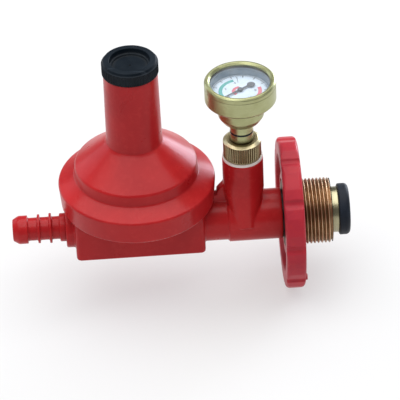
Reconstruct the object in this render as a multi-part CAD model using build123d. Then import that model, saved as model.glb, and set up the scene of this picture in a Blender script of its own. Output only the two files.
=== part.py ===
from build123d import *
import math
import os

# A low-pressure gas regulator: a handwheel inlet with a soft nose, a horizontal
# inlet pipe with a dial gauge on top, a round diaphragm housing under a spring
# tower, and a barbed hose outlet. Millimetres.
#
# The origin is the centre of the inlet thread's outer end. +X points out of the
# inlet, along the shared axis of thread, pipe and hose barb. +Z is up, along the
# spring tower and the gauge. The tower's axis and the gauge's axis cross the
# inlet axis.

# ---- driving dimensions ----------------------------------------------------

TOWER_X = -79.0           # tower and diaphragm axis
GAUGE_X = -35.6           # gauge axis

# inlet connection
THREAD_R = 13.5           # crest radius of the male inlet thread
THREAD_LENGTH = 12.6      # from the handwheel's face to the thread's end
THREAD_PITCH = 1.5
THREAD_DEPTH = 0.85
SLEEVE_HEX = 27.0         # across the flats, where the handwheel grips the sleeve
NIPPLE_R = 7.5            # barrel that the sleeve turns on
COLLAR_R = 9.5            # collar that takes the thread's pull
COLLAR_OUT = 3.0          # how far the collar shows past the thread
NOSE_R = 10.6
NOSE_THICK = 4.5
GAS_R = 3.5               # bore of the nipple
TURN_GAP = 0.05           # radial running clearance of turning parts

# handwheel
WHEEL_R = 31.2
WHEEL_THICK = 8.0
WHEEL_LOBES = 10
WHEEL_FLAT = 30.6         # distance of each lobe's flat from the axis
NOTCH_R = 2.4
NOTCH_DEPTH = 1.5
FIRST_NOTCH = 12.0        # degrees from straight down, turning about the axis
PIP_PLACE = (-17.5, -20.5)    # moulded pip on the front face, in Y and Z
PIP_R = 1.4
PIP_LENGTH = 2.4

# inlet pipe and gauge boss
PIPE_END = -20.3
PIPE_R = 10.45
PIPE_STEP_X = TOWER_X + 36.5
PIPE_THIN_R = 9.6
PIPE_BORE_R = 4.4
NIPPLE_THREAD_R = 8.0
NIPPLE_THREAD_END = -31.0
BOSS_TOP = 29.8
BOSS_R = 8.35
BOSS_SOCKET_R = 6.0
BOSS_SOCKET_FLOOR = 20.5
BOSS_WAIST = 15.0         # below this the boss narrows to a tongue over the pipe
TONGUE_FOOT = 1.0
TONGUE_WIDTH = 8.6
TONGUE_DEPTH = 22.4       # over both sides of the pipe
TONGUE_CORNER = 3.4
GAUGE_FEED_R = 1.5        # gas way up to the gauge
WEB_TOP = 17.6            # where the web's top edge meets the boss
WEB_SLOPE = 1.16          # rise of that edge per unit of length
WEB_HALF = 2.0            # half its thickness

# flow block under the housing
BLOCK_HALF_X = 26.6
BLOCK_HALF_Y = 11.0
BLOCK_FLOOR = -10.2
BLOCK_CORNER = 2.0
CHAMBER_FLOOR = 9.5
CHAMBER_FOOT_R = 22.5     # chamber under the diaphragm, at its floor
CHAMBER_R = 24.2          # and at its clamped edge
OUTLET_BOSS_R = 8.5
OUTLET_BOSS_END = TOWER_X - 30.3
SPIGOT_R = 4.6            # bore that the hose barb is pressed into
POCKET_END = TOWER_X - 22.0
POCKET_HALF = 4.2         # lever pocket, half its width
POCKET_FLOOR = 2.9
CHANNEL_HALF = 3.05       # valve channel, half its width
CHANNEL_FLOOR = -3.3

# diaphragm housing and tower
RIM_R = 32.0
RIM_FOOT_R = 31.2
RIM_TOP = 22.6
RIM_FOOT = 12.6
CLAMP_Z = 18.0            # top of the lower flange, under the diaphragm
FLANGE_FOOT = 13.8        # its underside
RUBBER = 0.8              # diaphragm thickness
DIAPHRAGM_R = 29.4
FLANGE_R = 29.5           # edge of the lower flange, inside the bonnet's skirt
SKIRT_INNER_R = 29.6
ROLL_R = 28.2             # inner edge of the skirt, rolled under the flange
ROLL_TOP = FLANGE_FOOT - 0.1
STEP_R = 25.2
STEP_FOOT = 26.2
STEP_TOP = 31.0
CONE_TOP_R = 12.2
CONE_TOP = 41.0
TOWER_R = 10.9
TOWER_FOOT_R = 11.35
TOWER_TOP = 74.5
TOWER_BORE_R = 9.0
TOWER_BORE_FOOT = 38.8    # where the bore opens into the cone
BREATHER_R = 0.8

# adjusting cap and spring
CAP_R = 11.4
CAP_TOP = 80.3
CAP_DISH = 2.6            # depth of the cap's top
CAP_WEB = 75.6            # underside of the web in the cap
CAP_GROOVES = 44
SEAT_Z = 61.0             # underside of the upper spring seat
SPRING_R = 6.6            # mean radius
WIRE_R = 0.8
SPRING_TURNS = 9
DISH_Z = 16.6             # underside of the diaphragm's flat centre at rest
PLATE_Z = DISH_Z + RUBBER + 0.02
SHEET = 0.8               # thickness of the pressed plate and washer
STUD_R = 1.5              # clamping stud of the diaphragm's stem

# valve train, from the tower's axis
STROKE = 2.4              # diaphragm travel, from wide open to closed
PIVOT_X = -15.0
PIVOT_Z = 5.0
LEVER_ARM = 15.0          # pivot to stem
VALVE_ARM = 5.0           # pivot to valve axis
LEVER_RISE = 3.0          # the long arm lies this far above the pivot
LEVER_REST = math.degrees(math.asin(STROKE / 2 / LEVER_ARM))
SEAT_X = -5.0             # face of the nozzle
VALVE_LIFT = STROKE * VALVE_ARM / LEVER_ARM
PAD_FACE = TOWER_X + SEAT_X - VALVE_LIFT - 0.02
PAD_R = 2.2
PAD_DEPTH = 1.6
PIN_R = 1.0

# hose barb, from the tower's axis
BARB_TIP = -52.1
BARB_R = 5.85
BARB_STEM_R = 4.75
HOSE_BORE_R = 3.2
BULB_LENGTH = 6.2
BARB_COLLAR = -32.8       # from here to the outlet boss
BARB_COLLAR_END = -30.3
BARB_SPIGOT_END = -22.1
RING_WIDTH = 1.0
RINGS = ((-41.9, 6.0), (-37.1, 6.2))    # start and radius of the two thin rings

# gauge
CASE_R = 14.4
CASE_FOOT = 57.6          # underside of the upper tier
CASE_TOP = 64.8
GAUGE_TOP = 67.2
LENS_TOP = CASE_TOP + 1.18
CASE_FLOOR = 59.3         # inside, around the movement
CUP_R = 9.3               # lower tier of the case
CUP_BORE_R = 7.7
NECK_R = 4.7
NECK_TOP = 47.0
NECK_PEG_TOP = 49.5       # peg that the case is pressed on
NECK_PEG_R = 3.0
NECK_GROOVE = (42.5, 43.4)    # groove of the dark ring, from foot to top
NECK_GROOVE_R = 4.1
NUT_R = 7.75
NUT_FOOT = BOSS_TOP + 1.0
NUT_TOP = 39.0
KNURL_TOP = 38.2
KNURLS = 48
SPIGOT_FOOT = 24.05       # nut's threaded spigot, in the boss
DIAL_Z = 61.85            # printed face
DIAL_R = 12.3
CASE_BORE_R = 12.4
SPINDLE_R = 0.4
STEM_R = 3.5              # gauge stem where it passes the nut
STEM_FOOT = 22.3
STEM_BORE_R = 0.8
TUBE_R = 9.6              # mean radius of the curved pressure tube
TUBE_ARC = 240.0
TUBE_Z = 60.5
NEEDLE_Z = DIAL_Z + 0.75
POINTER_ANGLE = 215.0     # where the needle points at zero, from +X


# ---- helpers ---------------------------------------------------------------

def outline(corners):
    """A closed face from (across, along, fillet radius) corners."""
    places = [(a, b) for a, b, _ in corners]
    radii = [r for _, _, r in corners]
    return make_face(FilletPolyline(*places, radius=radii, close=True))


def turned(corners, x=0.0):
    """Revolve (radius, z, fillet) corners about a vertical axis at x."""
    return Pos(x, 0, 0) * revolve(Plane.XZ * outline(corners), axis=Axis.Z)


def turned_along_x(corners, x=0.0):
    """Revolve (x, radius, fillet) corners about the inlet axis, shifted by x."""
    return Pos(x, 0, 0) * revolve(Plane.XZ * outline(corners), axis=Axis.X)


def upright(radius, foot, top, x=0.0, y=0.0):
    """A vertical cylinder from foot to top."""
    low = (Align.CENTER, Align.CENTER, Align.MIN)
    return Pos(x, y, foot) * Cylinder(radius, top - foot, align=low)


def lying(radius, start, end, z=0.0):
    """A cylinder along X from start to end."""
    low = (Align.CENTER, Align.CENTER, Align.MIN)
    return Pos(start, 0, z) * Rot(0, 90, 0) * Cylinder(radius, end - start, align=low)


def crosswise(radius, half, x, z):
    """A cylinder along Y, centred on the XZ plane."""
    return Pos(x, 0, z) * Rot(90, 0, 0) * Cylinder(radius, 2 * half)


def block(x0, x1, half_y, z0, z1):
    """A box, symmetric about the XZ plane."""
    centre = Pos((x0 + x1) / 2, 0, (z0 + z1) / 2)
    return centre * Box(x1 - x0, 2 * half_y, z1 - z0)


def ring(major, minor, x=0.0, z=0.0, flat=True):
    """An O-ring, lying flat or standing on the inlet axis."""
    turn = Rot(0, 0, 0) if flat else Rot(0, 90, 0)
    return Pos(x, 0, z) * turn * Torus(major, minor)


def around(count, radius):
    """Places evenly round a circle, each turned with it."""
    return [Rot(0, 0, 360 / count * i) * Pos(radius, 0, 0) for i in range(count)]


# ---- castings --------------------------------------------------------------

def boss_section(height, width, depth, corner):
    """One level outline of the gauge boss."""
    return Plane.XY.offset(height) * Pos(GAUGE_X, 0) * RectangleRounded(width, depth, corner)


def lower_body():
    """Diaphragm bowl, flow block, inlet pipe, gauge boss and web in one casting."""
    bowl = turned([
        (0, 5.0, 0), (20.0, 5.0, 1.5), (26.2, 12.0, 0), (26.8, FLANGE_FOOT, 0), (FLANGE_R, FLANGE_FOOT, 0),
        (FLANGE_R, CLAMP_Z, 0), (CHAMBER_R, CLAMP_Z, 0), (CHAMBER_FOOT_R, CHAMBER_FLOOR, 0),
        (0, CHAMBER_FLOOR, 0),
    ], TOWER_X)
    base = block(TOWER_X - BLOCK_HALF_X, TOWER_X + BLOCK_HALF_X, BLOCK_HALF_Y,
                 BLOCK_FLOOR, CHAMBER_FLOOR)
    base = fillet(base.edges().filter_by(Axis.Z), BLOCK_CORNER)
    base = fillet(base.faces().sort_by(Axis.Z)[0].edges(), 1.0)
    outlet_boss = lying(OUTLET_BOSS_R, OUTLET_BOSS_END, TOWER_X - BLOCK_HALF_X + 1.0)
    outlet_boss = fillet(outlet_boss.faces().sort_by(Axis.X)[0].edges(), 0.5)
    pipe = lying(PIPE_R, PIPE_STEP_X, PIPE_END)
    pipe = fillet(pipe.edges().filter_by(GeomType.CIRCLE), 0.4)
    thin_pipe = lying(PIPE_THIN_R, TOWER_X + 20.0, PIPE_STEP_X + 1.0)
    boss = loft([
        boss_section(TONGUE_FOOT, TONGUE_WIDTH, TONGUE_DEPTH, TONGUE_CORNER),
        boss_section(BOSS_WAIST, 2 * BOSS_R, 2 * BOSS_R + 0.8, BOSS_R - 0.02),
        boss_section(BOSS_TOP, 2 * BOSS_R, 2 * BOSS_R, BOSS_R - 0.02),
    ], ruled=True)
    web_start, web_end = TOWER_X + 24.0, GAUGE_X - BOSS_R
    low_corner = WEB_TOP - WEB_SLOPE * (web_end - web_start)
    web_outline = make_face(Polyline(
        (web_start, 0), (web_end + 1, 0), (web_end + 1, WEB_TOP + WEB_SLOPE), (web_start, low_corner),
        close=True))
    web = extrude(Plane.XZ * web_outline, WEB_HALF, both=True)
    body = bowl + base + outlet_boss + pipe + thin_pipe + boss + web

    # gas ways, from the inlet to the outlet
    body -= lying(NIPPLE_THREAD_R, NIPPLE_THREAD_END - 1.5, PIPE_END + 1)
    body -= lying(PIPE_BORE_R, TOWER_X + 5.0, NIPPLE_THREAD_END)
    body -= upright(GAUGE_FEED_R, 0, BOSS_SOCKET_FLOOR + 1, GAUGE_X)
    body -= upright(BOSS_SOCKET_R, BOSS_SOCKET_FLOOR, BOSS_TOP + 1, GAUGE_X)
    body -= block(POCKET_END, TOWER_X + 5.0, POCKET_HALF, POCKET_FLOOR, CHAMBER_FLOOR + 0.1)
    body -= block(POCKET_END, TOWER_X + 5.0, CHANNEL_HALF, CHANNEL_FLOOR, POCKET_FLOOR + 0.1)
    body -= lying(SPIGOT_R, OUTLET_BOSS_END - 1, POCKET_END + 0.1)
    body -= crosswise(PIN_R, 7.0, TOWER_X + PIVOT_X, PIVOT_Z)
    # the cavity above the chamber floor stays clear of web, block and pipe
    body -= turned([(0, CHAMBER_FLOOR, 0), (CHAMBER_FOOT_R, CHAMBER_FLOOR, 0), (CHAMBER_R, CLAMP_Z, 0),
                    (CHAMBER_R, CLAMP_Z + 3, 0), (0, CLAMP_Z + 3, 0)], TOWER_X)
    # nothing of the web reaches into the bonnet's skirt
    body -= turned([(FLANGE_R, RIM_FOOT - 0.1, 0), (RIM_R + 0.3, RIM_FOOT - 0.1, 0),
                    (RIM_R + 0.3, 21.5, 0), (FLANGE_R, 21.5, 0)], TOWER_X)
    return body


def bonnet():
    """Rim skirt rolled under the flange, stepped disc, cone and spring tower."""
    shell = turned([
        (RIM_FOOT_R, RIM_FOOT, 0.8), (RIM_R, RIM_TOP, 1.2), (STEP_R + 0.1, STEP_FOOT, 0.8),
        (STEP_R - 0.4, STEP_TOP, 1.6), (CONE_TOP_R, CONE_TOP, 1.2),
        (TOWER_FOOT_R, CONE_TOP + 0.8, 0.7), (TOWER_R, TOWER_TOP, 0.4), (TOWER_BORE_R, TOWER_TOP, 0),
        (TOWER_BORE_R, TOWER_BORE_FOOT, 0), (22.4, 28.2, 1.0), (23.0, 23.4, 1.0), (CHAMBER_R, 21.0, 0),
        (CHAMBER_R, CLAMP_Z + RUBBER, 0), (SKIRT_INNER_R, CLAMP_Z + RUBBER, 0),
        (SKIRT_INNER_R, ROLL_TOP, 0), (ROLL_R, ROLL_TOP, 0), (ROLL_R, RIM_FOOT, 0),
    ], TOWER_X)
    breather = Pos(TOWER_X, 19.0, 36.0) * Rot(-35, 0, 0) * Cylinder(BREATHER_R, 12)
    return shell - breather


def hose_barb():
    """Outlet nozzle: a rounded bulb, two thin rings, a collar and a spigot."""
    stem = turned_along_x([
        (BARB_TIP, HOSE_BORE_R, 0.3), (BARB_TIP, 4.4, 0.6), (BARB_TIP + 2.4, BARB_R, 1.8),
        (BARB_TIP + BULB_LENGTH, BARB_R, 0.2), (BARB_TIP + BULB_LENGTH, BARB_STEM_R, 0),
        (BARB_COLLAR, BARB_STEM_R, 0), (BARB_COLLAR, BARB_R, 0.3), (BARB_COLLAR_END, BARB_R, 0),
        (BARB_COLLAR_END, SPIGOT_R, 0), (BARB_SPIGOT_END, SPIGOT_R, 0.4),
        (BARB_SPIGOT_END, HOSE_BORE_R, 0),
    ], TOWER_X)
    for start, radius in RINGS:
        stem += lying(radius, TOWER_X + start, TOWER_X + start + RING_WIDTH)
    return stem - lying(HOSE_BORE_R, TOWER_X + BARB_TIP - 1, TOWER_X - 20)


def handwheel():
    """Ten-lobed wheel with a dished web and a hexagon for the sleeve."""
    back, front = -THREAD_LENGTH - WHEEL_THICK, -THREAD_LENGTH
    disc = turned_along_x([
        (back, 24.5, 0.8), (back, WHEEL_R, 1.6), (front, WHEEL_R, 1.6), (front, 25.0, 0.8),
        (front - 1.0, 24.0, 0), (front - 1.0, 18.2, 0), (front, 17.2, 0.5), (front, 0, 0),
        (back + 1.0, 0, 0), (back + 1.0, 17.0, 0.5), (back + 2.6, 18.0, 0), (back + 2.6, 23.8, 0),
    ])
    standing = Pos(back - 1, 0, 0) * Rot(0, 90, 0)
    long = WHEEL_THICK + 2
    upward = (Align.CENTER, Align.CENTER, Align.MIN)
    flats = extrude(RegularPolygon(WHEEL_FLAT, WHEEL_LOBES, major_radius=False), long)
    start = Rot(0, 0, FIRST_NOTCH)
    disc = disc & (standing * start * Rot(0, 0, 180 / WHEEL_LOBES) * flats)
    notch = Cylinder(NOTCH_R, long, align=upward)
    for place in around(WHEEL_LOBES, WHEEL_R + NOTCH_R - NOTCH_DEPTH):
        disc -= standing * start * place * notch
    hexagon = extrude(RegularPolygon(SLEEVE_HEX / 2, 6, major_radius=False), long)
    pip = Pos(front, *PIP_PLACE) * Rot(0, 90, 0) * Cylinder(PIP_R, PIP_LENGTH)
    return disc - standing * hexagon + pip


# ---- inlet -----------------------------------------------------------------

def threaded_sleeve():
    """Male inlet thread with a hexagon inside the handwheel, free on the nipple."""
    back = -THREAD_LENGTH - WHEEL_THICK + 1.0
    hexagon = extrude(RegularPolygon(SLEEVE_HEX / 2, 6, major_radius=False), -THREAD_LENGTH - back)
    sleeve = Pos(back, 0, 0) * Rot(0, 90, 0) * hexagon
    sleeve += lying(THREAD_R, -THREAD_LENGTH, 0)
    crest = 0.2
    for i in range(int(THREAD_LENGTH / THREAD_PITCH)):
        middle = -THREAD_PITCH * (i + 0.5)
        half = (THREAD_PITCH - crest) / 2
        groove = turned_along_x([
            (middle - half, THREAD_R + 0.001, 0), (middle, THREAD_R - THREAD_DEPTH, 0),
            (middle + half, THREAD_R + 0.001, 0),
        ])
        sleeve -= groove
    sleeve -= lying(NIPPLE_R + TURN_GAP, back - 1, 1)
    return sleeve - lying(COLLAR_R + TURN_GAP, -COLLAR_OUT - TURN_GAP, 1)


def inlet_nipple():
    """Screws into the pipe; its collar pulls the soft nose into the valve."""
    return turned_along_x([
        (NIPPLE_THREAD_END, GAS_R, 0), (NIPPLE_THREAD_END, NIPPLE_THREAD_R, 0),
        (PIPE_END, NIPPLE_THREAD_R, 0), (PIPE_END, NIPPLE_R, 0), (-COLLAR_OUT, NIPPLE_R, 0),
        (-COLLAR_OUT, COLLAR_R, 0.3), (COLLAR_OUT, COLLAR_R, 0.4), (COLLAR_OUT, 6.0, 0),
        (COLLAR_OUT + 1.2, 6.0, 0), (COLLAR_OUT + 1.6, 7.0, 0), (COLLAR_OUT + 3.2, 6.4, 0),
        (COLLAR_OUT + 3.2, GAS_R, 0),
    ])


def nose_seal():
    """Soft rubber nose, snapped over the nipple's barb."""
    end = COLLAR_OUT + NOSE_THICK
    return turned_along_x([
        (COLLAR_OUT, 6.0, 0), (COLLAR_OUT, NOSE_R, 0.6), (end, NOSE_R, 1.8), (end, GAS_R, 0.4),
        (COLLAR_OUT + 3.2, GAS_R, 0), (COLLAR_OUT + 3.2, 6.4, 0), (COLLAR_OUT + 1.6, 7.0, 0),
        (COLLAR_OUT + 1.2, 6.0, 0),
    ])


def thrust_washer():
    """Keeps the turning sleeve off the painted pipe end."""
    return lying(10.0, PIPE_END, PIPE_END + 0.6) - lying(NIPPLE_R + 0.05, PIPE_END - 1, PIPE_END + 1)


def seat_nozzle():
    """Brass orifice, screwed in from the inlet, whose snout the valve pad closes."""
    snout = turned_along_x([
        (SEAT_X, 1.0, 0), (SEAT_X, 1.7, 0.15), (SEAT_X + 0.7, 2.4, 0), (5.0, 2.4, 0),
        (5.0, PIPE_BORE_R, 0), (12.0, PIPE_BORE_R, 0.4), (12.0, 1.0, 0),
    ], TOWER_X)
    key = extrude(RegularPolygon(2.5, 6, major_radius=False), 4.0)
    return snout - Pos(TOWER_X + 9.0, 0, 0) * Rot(0, 90, 0) * key


# ---- diaphragm, lever and valve --------------------------------------------

def diaphragm():
    """Moulded rubber: a clamped edge, one sloping convolution and a flat centre."""
    top = CLAMP_Z + RUBBER
    return turned([
        (DIAPHRAGM_R, CLAMP_Z, 0), (DIAPHRAGM_R, top, 0), (24.0, top, 0), (18.5, DISH_Z + RUBBER, 1.0),
        (1.6, DISH_Z + RUBBER, 0), (1.6, DISH_Z, 0), (18.9, DISH_Z, 1.0), (24.15, CLAMP_Z, 0),
    ], TOWER_X)


def diaphragm_plate():
    """Pressed steel plate with an upturned edge, under the main spring."""
    hole, edge, lip = STUD_R + TURN_GAP, 17.0, PLATE_Z + 1.8
    return turned([
        (hole, PLATE_Z, 0), (edge, PLATE_Z, 0.6), (edge, lip, 0), (edge - SHEET, lip, 0),
        (edge - SHEET, PLATE_Z + SHEET, 0.2), (hole, PLATE_Z + SHEET, 0),
    ], TOWER_X)


def diaphragm_washer():
    """Lower clamp washer."""
    top = DISH_Z - 0.02
    hole, edge = STUD_R + TURN_GAP, 9.0
    return turned([(hole, top - SHEET, 0), (edge, top - SHEET, 0.3), (edge, top, 0), (hole, top, 0)],
                  TOWER_X)


def diaphragm_stem():
    """Stud through the plates, and a stem whose window holds the lever's tip."""
    shoulder = DISH_Z - 0.02 - SHEET
    window = PIVOT_Z + LEVER_RISE - STROKE / 2
    stem = turned([
        (0, window - 2.3, 0), (2.2, window - 2.3, 0.5), (2.2, shoulder - 1.0, 0),
        (3.2, shoulder - 1.0, 0), (3.2, shoulder, 0), (STUD_R, shoulder, 0), (STUD_R, 21.2, 0.3),
        (0, 21.2, 0),
    ], TOWER_X)
    return stem - block(TOWER_X - 3, TOWER_X + 3, 1.05, window - 0.95, window + 0.95)


def stem_nut():
    """Hexagon nut that clamps the plate, rubber and washer."""
    foot = PLATE_Z + SHEET
    nut = Pos(TOWER_X, 0, foot) * extrude(RegularPolygon(2.75, 6, major_radius=False), 2.2)
    return nut - upright(STUD_R, foot - 1, foot + 3, TOWER_X)


def lever():
    """Bell crank: a long arm to the stem, a short one down to the valve holder."""
    crank = crosswise(2.0, 1.9, 0, 0)
    crank += block(-0.55, 0.55, 1.9, -VALVE_ARM - 0.9, 0)
    crank += block(-0.6, 0.6, 1.9, 0, LEVER_RISE + 0.6)
    crank += block(-0.6, 12.0, 1.9, LEVER_RISE - 0.6, LEVER_RISE + 0.6)
    crank += block(12.0, LEVER_ARM + 2.6, 0.9, LEVER_RISE - 0.6, LEVER_RISE + 0.6)
    crank -= crosswise(PIN_R + TURN_GAP, 3.0, 0, 0)
    return Pos(TOWER_X + PIVOT_X, 0, PIVOT_Z) * Rot(0, LEVER_REST, 0) * crank


def lever_pin():
    """Pivot pin across the pocket."""
    return crosswise(PIN_R, 6.9, TOWER_X + PIVOT_X, PIVOT_Z)


def valve_holder():
    """Slides in the block's channel; the lever's short arm works in its slot."""
    holder = block(PAD_FACE - 13.0, PAD_FACE - 0.5, CHANNEL_HALF - TURN_GAP, CHANNEL_FLOOR + 0.1, 2.8)
    holder -= lying(PAD_R, PAD_FACE - PAD_DEPTH, PAD_FACE + 1)
    slot = TOWER_X + PIVOT_X - VALVE_LIFT / 2
    return holder - block(slot - 1.0, slot + 1.0, 2.1, -1.8, 3.0)


def valve_pad():
    """Rubber disc in the holder's end."""
    return lying(PAD_R, PAD_FACE - PAD_DEPTH, PAD_FACE)


def main_spring():
    """Coil spring between the diaphragm plate and the upper seat."""
    foot = PLATE_Z + SHEET + WIRE_R + 0.1
    height = SEAT_Z - 0.1 - WIRE_R - foot
    path = Helix(height / SPRING_TURNS, height, SPRING_R)
    wire = sweep(Plane(origin=path @ 0, z_dir=path % 0) * Circle(WIRE_R), path=path, is_frenet=True)
    return Pos(TOWER_X, 0, foot) * wire


def spring_seat():
    """Upper spring button, pushed down by the cap."""
    return turned([
        (0, SEAT_Z - 3.5, 0), (5.0, SEAT_Z - 3.5, 0.8), (5.0, SEAT_Z, 0), (8.3, SEAT_Z, 0.2),
        (8.3, SEAT_Z + 1.5, 0.2), (0, SEAT_Z + 1.5, 0),
    ], TOWER_X)


def adjusting_cap():
    """Ribbed cap with a dished top and a hollow threaded shank."""
    foot, skirt = SEAT_Z + 1.55, TOWER_TOP + 0.05
    cap = turned([
        (6.8, foot, 0), (TOWER_BORE_R - TURN_GAP, foot, 0.4), (TOWER_BORE_R - TURN_GAP, skirt, 0),
        (CAP_R, skirt, 0.2), (CAP_R, CAP_TOP - 1.2, 0.3), (CAP_R - 1.1, CAP_TOP, 0.4),
        (8.0, CAP_TOP, 0.3), (7.8, CAP_TOP - CAP_DISH, 0.3), (0, CAP_TOP - CAP_DISH, 0),
        (0, CAP_WEB, 0), (6.8, CAP_WEB, 1.0),
    ], TOWER_X)
    groove = upright(0.35, skirt - 0.5, CAP_TOP - 1.3)
    for place in around(CAP_GROOVES, CAP_R + 0.1):
        cap -= Pos(TOWER_X, 0, 0) * place * groove
    return cap


# ---- gauge -----------------------------------------------------------------

def gauge_washer():
    """White sealing washer under the knurled nut."""
    return upright(8.15, BOSS_TOP, NUT_FOOT, GAUGE_X) - upright(6.1, 0, 40, GAUGE_X)


def gauge_nut():
    """Knurled nut, screwed into the boss, that clamps the gauge's stem."""
    nut = turned([
        (STEM_R + TURN_GAP, SPIGOT_FOOT, 0), (BOSS_SOCKET_R - TURN_GAP, SPIGOT_FOOT, 0.3),
        (BOSS_SOCKET_R - TURN_GAP, NUT_FOOT, 0), (NUT_R, NUT_FOOT, 0.2),
        (NUT_R, KNURL_TOP, 0.3), (NUT_R - 1.2, NUT_TOP, 0.3), (STEM_R + TURN_GAP, NUT_TOP, 0),
    ], GAUGE_X)
    flute = upright(0.3, NUT_FOOT + 0.4, KNURL_TOP - 0.2)
    for place in around(KNURLS, NUT_R + 0.08):
        nut -= Pos(GAUGE_X, 0, 0) * place * flute
    return nut


def gauge_stem():
    """Flanged stem through the nut, and the neck that carries the case."""
    groove_foot, groove_top = NECK_GROOVE
    flange_top = SPIGOT_FOOT - 0.05
    return turned([
        (STEM_BORE_R, STEM_FOOT, 0), (5.0, STEM_FOOT, 0.2), (5.0, flange_top, 0), (STEM_R, flange_top, 0),
        (STEM_R, NUT_TOP + 0.05, 0), (NECK_R, NUT_TOP + 0.05, 0.3), (NECK_R, groove_foot, 0),
        (NECK_GROOVE_R, groove_foot, 0), (NECK_GROOVE_R, groove_top, 0), (NECK_R, groove_top, 0),
        (NECK_R, NECK_TOP, 0), (NECK_PEG_R, NECK_TOP, 0), (NECK_PEG_R, NECK_PEG_TOP, 0),
        (STEM_BORE_R, NECK_PEG_TOP, 0),
    ], GAUGE_X)


def neck_ring():
    """Dark ring in the neck's groove."""
    foot, top = NECK_GROOVE
    band = upright(NECK_R + 0.05, foot + 0.05, top - 0.05, GAUGE_X)
    return band - upright(NECK_GROOVE_R + 0.02, foot, top, GAUGE_X)


def gauge_case():
    """Turned brass cup in two tiers."""
    return turned([
        (NECK_PEG_R, NECK_TOP, 0), (4.9, NECK_TOP, 0.3), (7.5, NECK_TOP + 1.2, 1.2),
        (CUP_R, NECK_TOP + 4.0, 1.6), (CUP_R, CASE_FOOT - 0.1, 0.3), (CASE_R - 0.9, CASE_FOOT, 0.5),
        (CASE_R, CASE_FOOT + 1.0, 0.5), (CASE_R, CASE_TOP, 0), (CASE_BORE_R, CASE_TOP, 0),
        (CASE_BORE_R, CASE_FLOOR, 0), (CUP_BORE_R, CASE_FLOOR, 0), (CUP_BORE_R, NECK_PEG_TOP + 2.4, 1.2),
        (5.6, NECK_PEG_TOP, 0), (NECK_PEG_R, NECK_PEG_TOP, 0),
    ], GAUGE_X)


def bezel_ring():
    """Brass ring that traps the lens."""
    return turned([
        (12.6, CASE_TOP, 0), (CASE_R, CASE_TOP, 0.2), (CASE_R, GAUGE_TOP - 0.7, 0.5),
        (CASE_R - 0.7, GAUGE_TOP, 0.3), (12.9, GAUGE_TOP, 0.2), (12.1, GAUGE_TOP - 0.8, 0.2),
        (12.1, LENS_TOP + 0.02, 0), (12.6, LENS_TOP + 0.02, 0),
    ], GAUGE_X)


def gauge_lens():
    """Flat clear lens."""
    return upright(12.55, CASE_TOP + 0.1, LENS_TOP, GAUGE_X)


def dial_spacer():
    """Ring between dial and lens."""
    outer = upright(CASE_BORE_R - TURN_GAP, DIAL_Z, CASE_TOP + 0.08, GAUGE_X)
    return outer - upright(11.5, 50, 70, GAUGE_X)


def dial():
    """Printed disc."""
    return upright(DIAL_R, DIAL_Z - 0.5, DIAL_Z, GAUGE_X) - upright(0.6, 50, 70, GAUGE_X)


def movement_plate():
    """Bar across the case that carries the spindle's lower bearing."""
    bar = Pos(GAUGE_X, 0, CASE_FLOOR + 0.2) * Box(20.0, 5.0, 0.4)
    return bar - upright(SPINDLE_R + TURN_GAP, 50, 70, GAUGE_X)


def bourdon_tube():
    """Curved pressure tube, fed from the stem by a riser."""
    start = 60.0
    section = Plane.XZ * Pos(TUBE_R, TUBE_Z) * Rectangle(0.9, 1.2)
    arc = Rot(0, 0, start) * revolve(section, axis=Axis.Z, revolution_arc=TUBE_ARC)
    feed = Rot(0, 0, start + 2) * Pos(TUBE_R / 2 + 2.0, 0, TUBE_Z) * Box(TUBE_R - 4.0, 0.9, 1.2)
    riser = Rot(0, 0, start + 2) * upright(0.9, NECK_PEG_TOP, TUBE_Z, 3.9)
    return Pos(GAUGE_X, 0, 0) * (arc + feed + riser)


def pointer():
    """Flat needle with a round counterweight and a hub."""
    flat = Pos(2.6, 0, 0) * Box(11.0, 0.7, 0.3)
    flat += Pos(8.9, 0, 0) * Box(2.2, 0.4, 0.3)
    flat += Pos(-2.6, 0, 0) * Box(4.0, 0.9, 0.3)
    flat += Pos(-5.6, 0, 0) * Cylinder(1.7, 0.3)
    flat += Pos(0, 0, 0.1) * Cylinder(1.1, 0.8)
    return Pos(GAUGE_X, 0, NEEDLE_Z) * Rot(0, 0, POINTER_ANGLE) * flat


def pointer_spindle():
    """Spindle under the pointer."""
    return upright(SPINDLE_R, CASE_FLOOR - 0.8, NEEDLE_Z - 0.3, GAUGE_X)


# ---- the assembly ----------------------------------------------------------

PARTS = {
    "lower_body": lower_body,
    "bonnet": bonnet,
    "hose_barb": hose_barb,
    "handwheel": handwheel,
    "threaded_sleeve": threaded_sleeve,
    "inlet_nipple": inlet_nipple,
    "nose_seal": nose_seal,
    "thrust_washer": thrust_washer,
    "inlet_filter": lambda: lying(GAS_R, -14.0, -8.0),
    "nipple_oring": lambda: ring(6.0, 0.75, x=NIPPLE_THREAD_END - 0.75, flat=False),
    "seat_nozzle": seat_nozzle,
    "diaphragm": diaphragm,
    "diaphragm_plate": diaphragm_plate,
    "diaphragm_washer": diaphragm_washer,
    "diaphragm_stem": diaphragm_stem,
    "stem_nut": stem_nut,
    "lever": lever,
    "lever_pin": lever_pin,
    "valve_holder": valve_holder,
    "valve_pad": valve_pad,
    "main_spring": main_spring,
    "spring_seat": spring_seat,
    "adjusting_cap": adjusting_cap,
    "gauge_washer": gauge_washer,
    "gauge_nut": gauge_nut,
    "gauge_oring": lambda: ring(3.6, 0.9, x=GAUGE_X, z=BOSS_SOCKET_FLOOR + 0.9),
    "gauge_stem": gauge_stem,
    "neck_ring": neck_ring,
    "gauge_case": gauge_case,
    "bezel_ring": bezel_ring,
    "gauge_lens": gauge_lens,
    "dial_spacer": dial_spacer,
    "dial": dial,
    "movement_plate": movement_plate,
    "bourdon_tube": bourdon_tube,
    "pointer": pointer,
    "pointer_spindle": pointer_spindle,
}

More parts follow.
